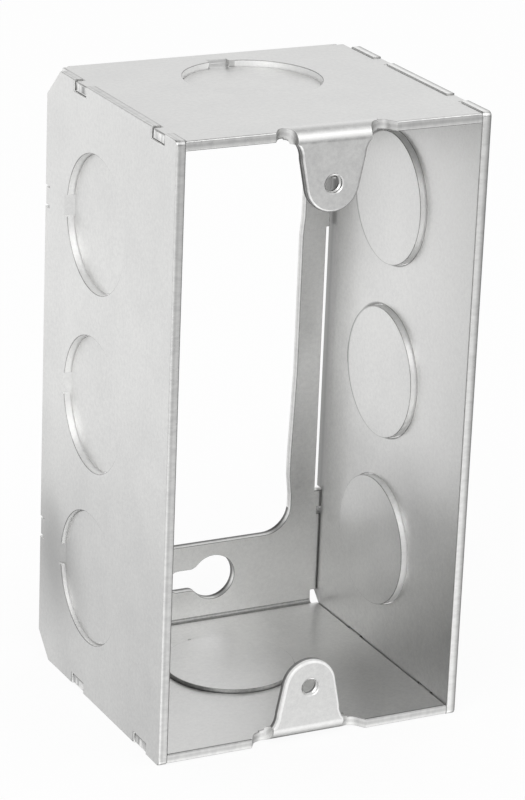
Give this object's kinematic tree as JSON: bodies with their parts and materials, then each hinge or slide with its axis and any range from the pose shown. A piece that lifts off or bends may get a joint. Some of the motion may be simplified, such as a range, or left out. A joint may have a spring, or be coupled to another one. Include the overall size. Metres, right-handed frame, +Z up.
{
  "type": "handy box extension ring",
  "caption": "Welded sheet steel ring that deepens a handy box, with knockouts all round, screw ears at the open front and keyholes in the back frame.",
  "frame": {"origin": "middle of the underside", "axes": "+Z up along the ring's long side, -Y out of the open front with the screw ears, +X to the right when looking into the front"},
  "size_m": [0.0534, 0.0484, 0.1016],
  "materials": {
    "zinc_steel": "pale zinc-coated sheet with a fine mottled satin finish"
  },
  "bodies": {
    "root": {"wrap_strip": "zinc_steel", "left_side_plate": "zinc_steel", "right_side_plate": "zinc_steel"}
  },
  "joints": []
}
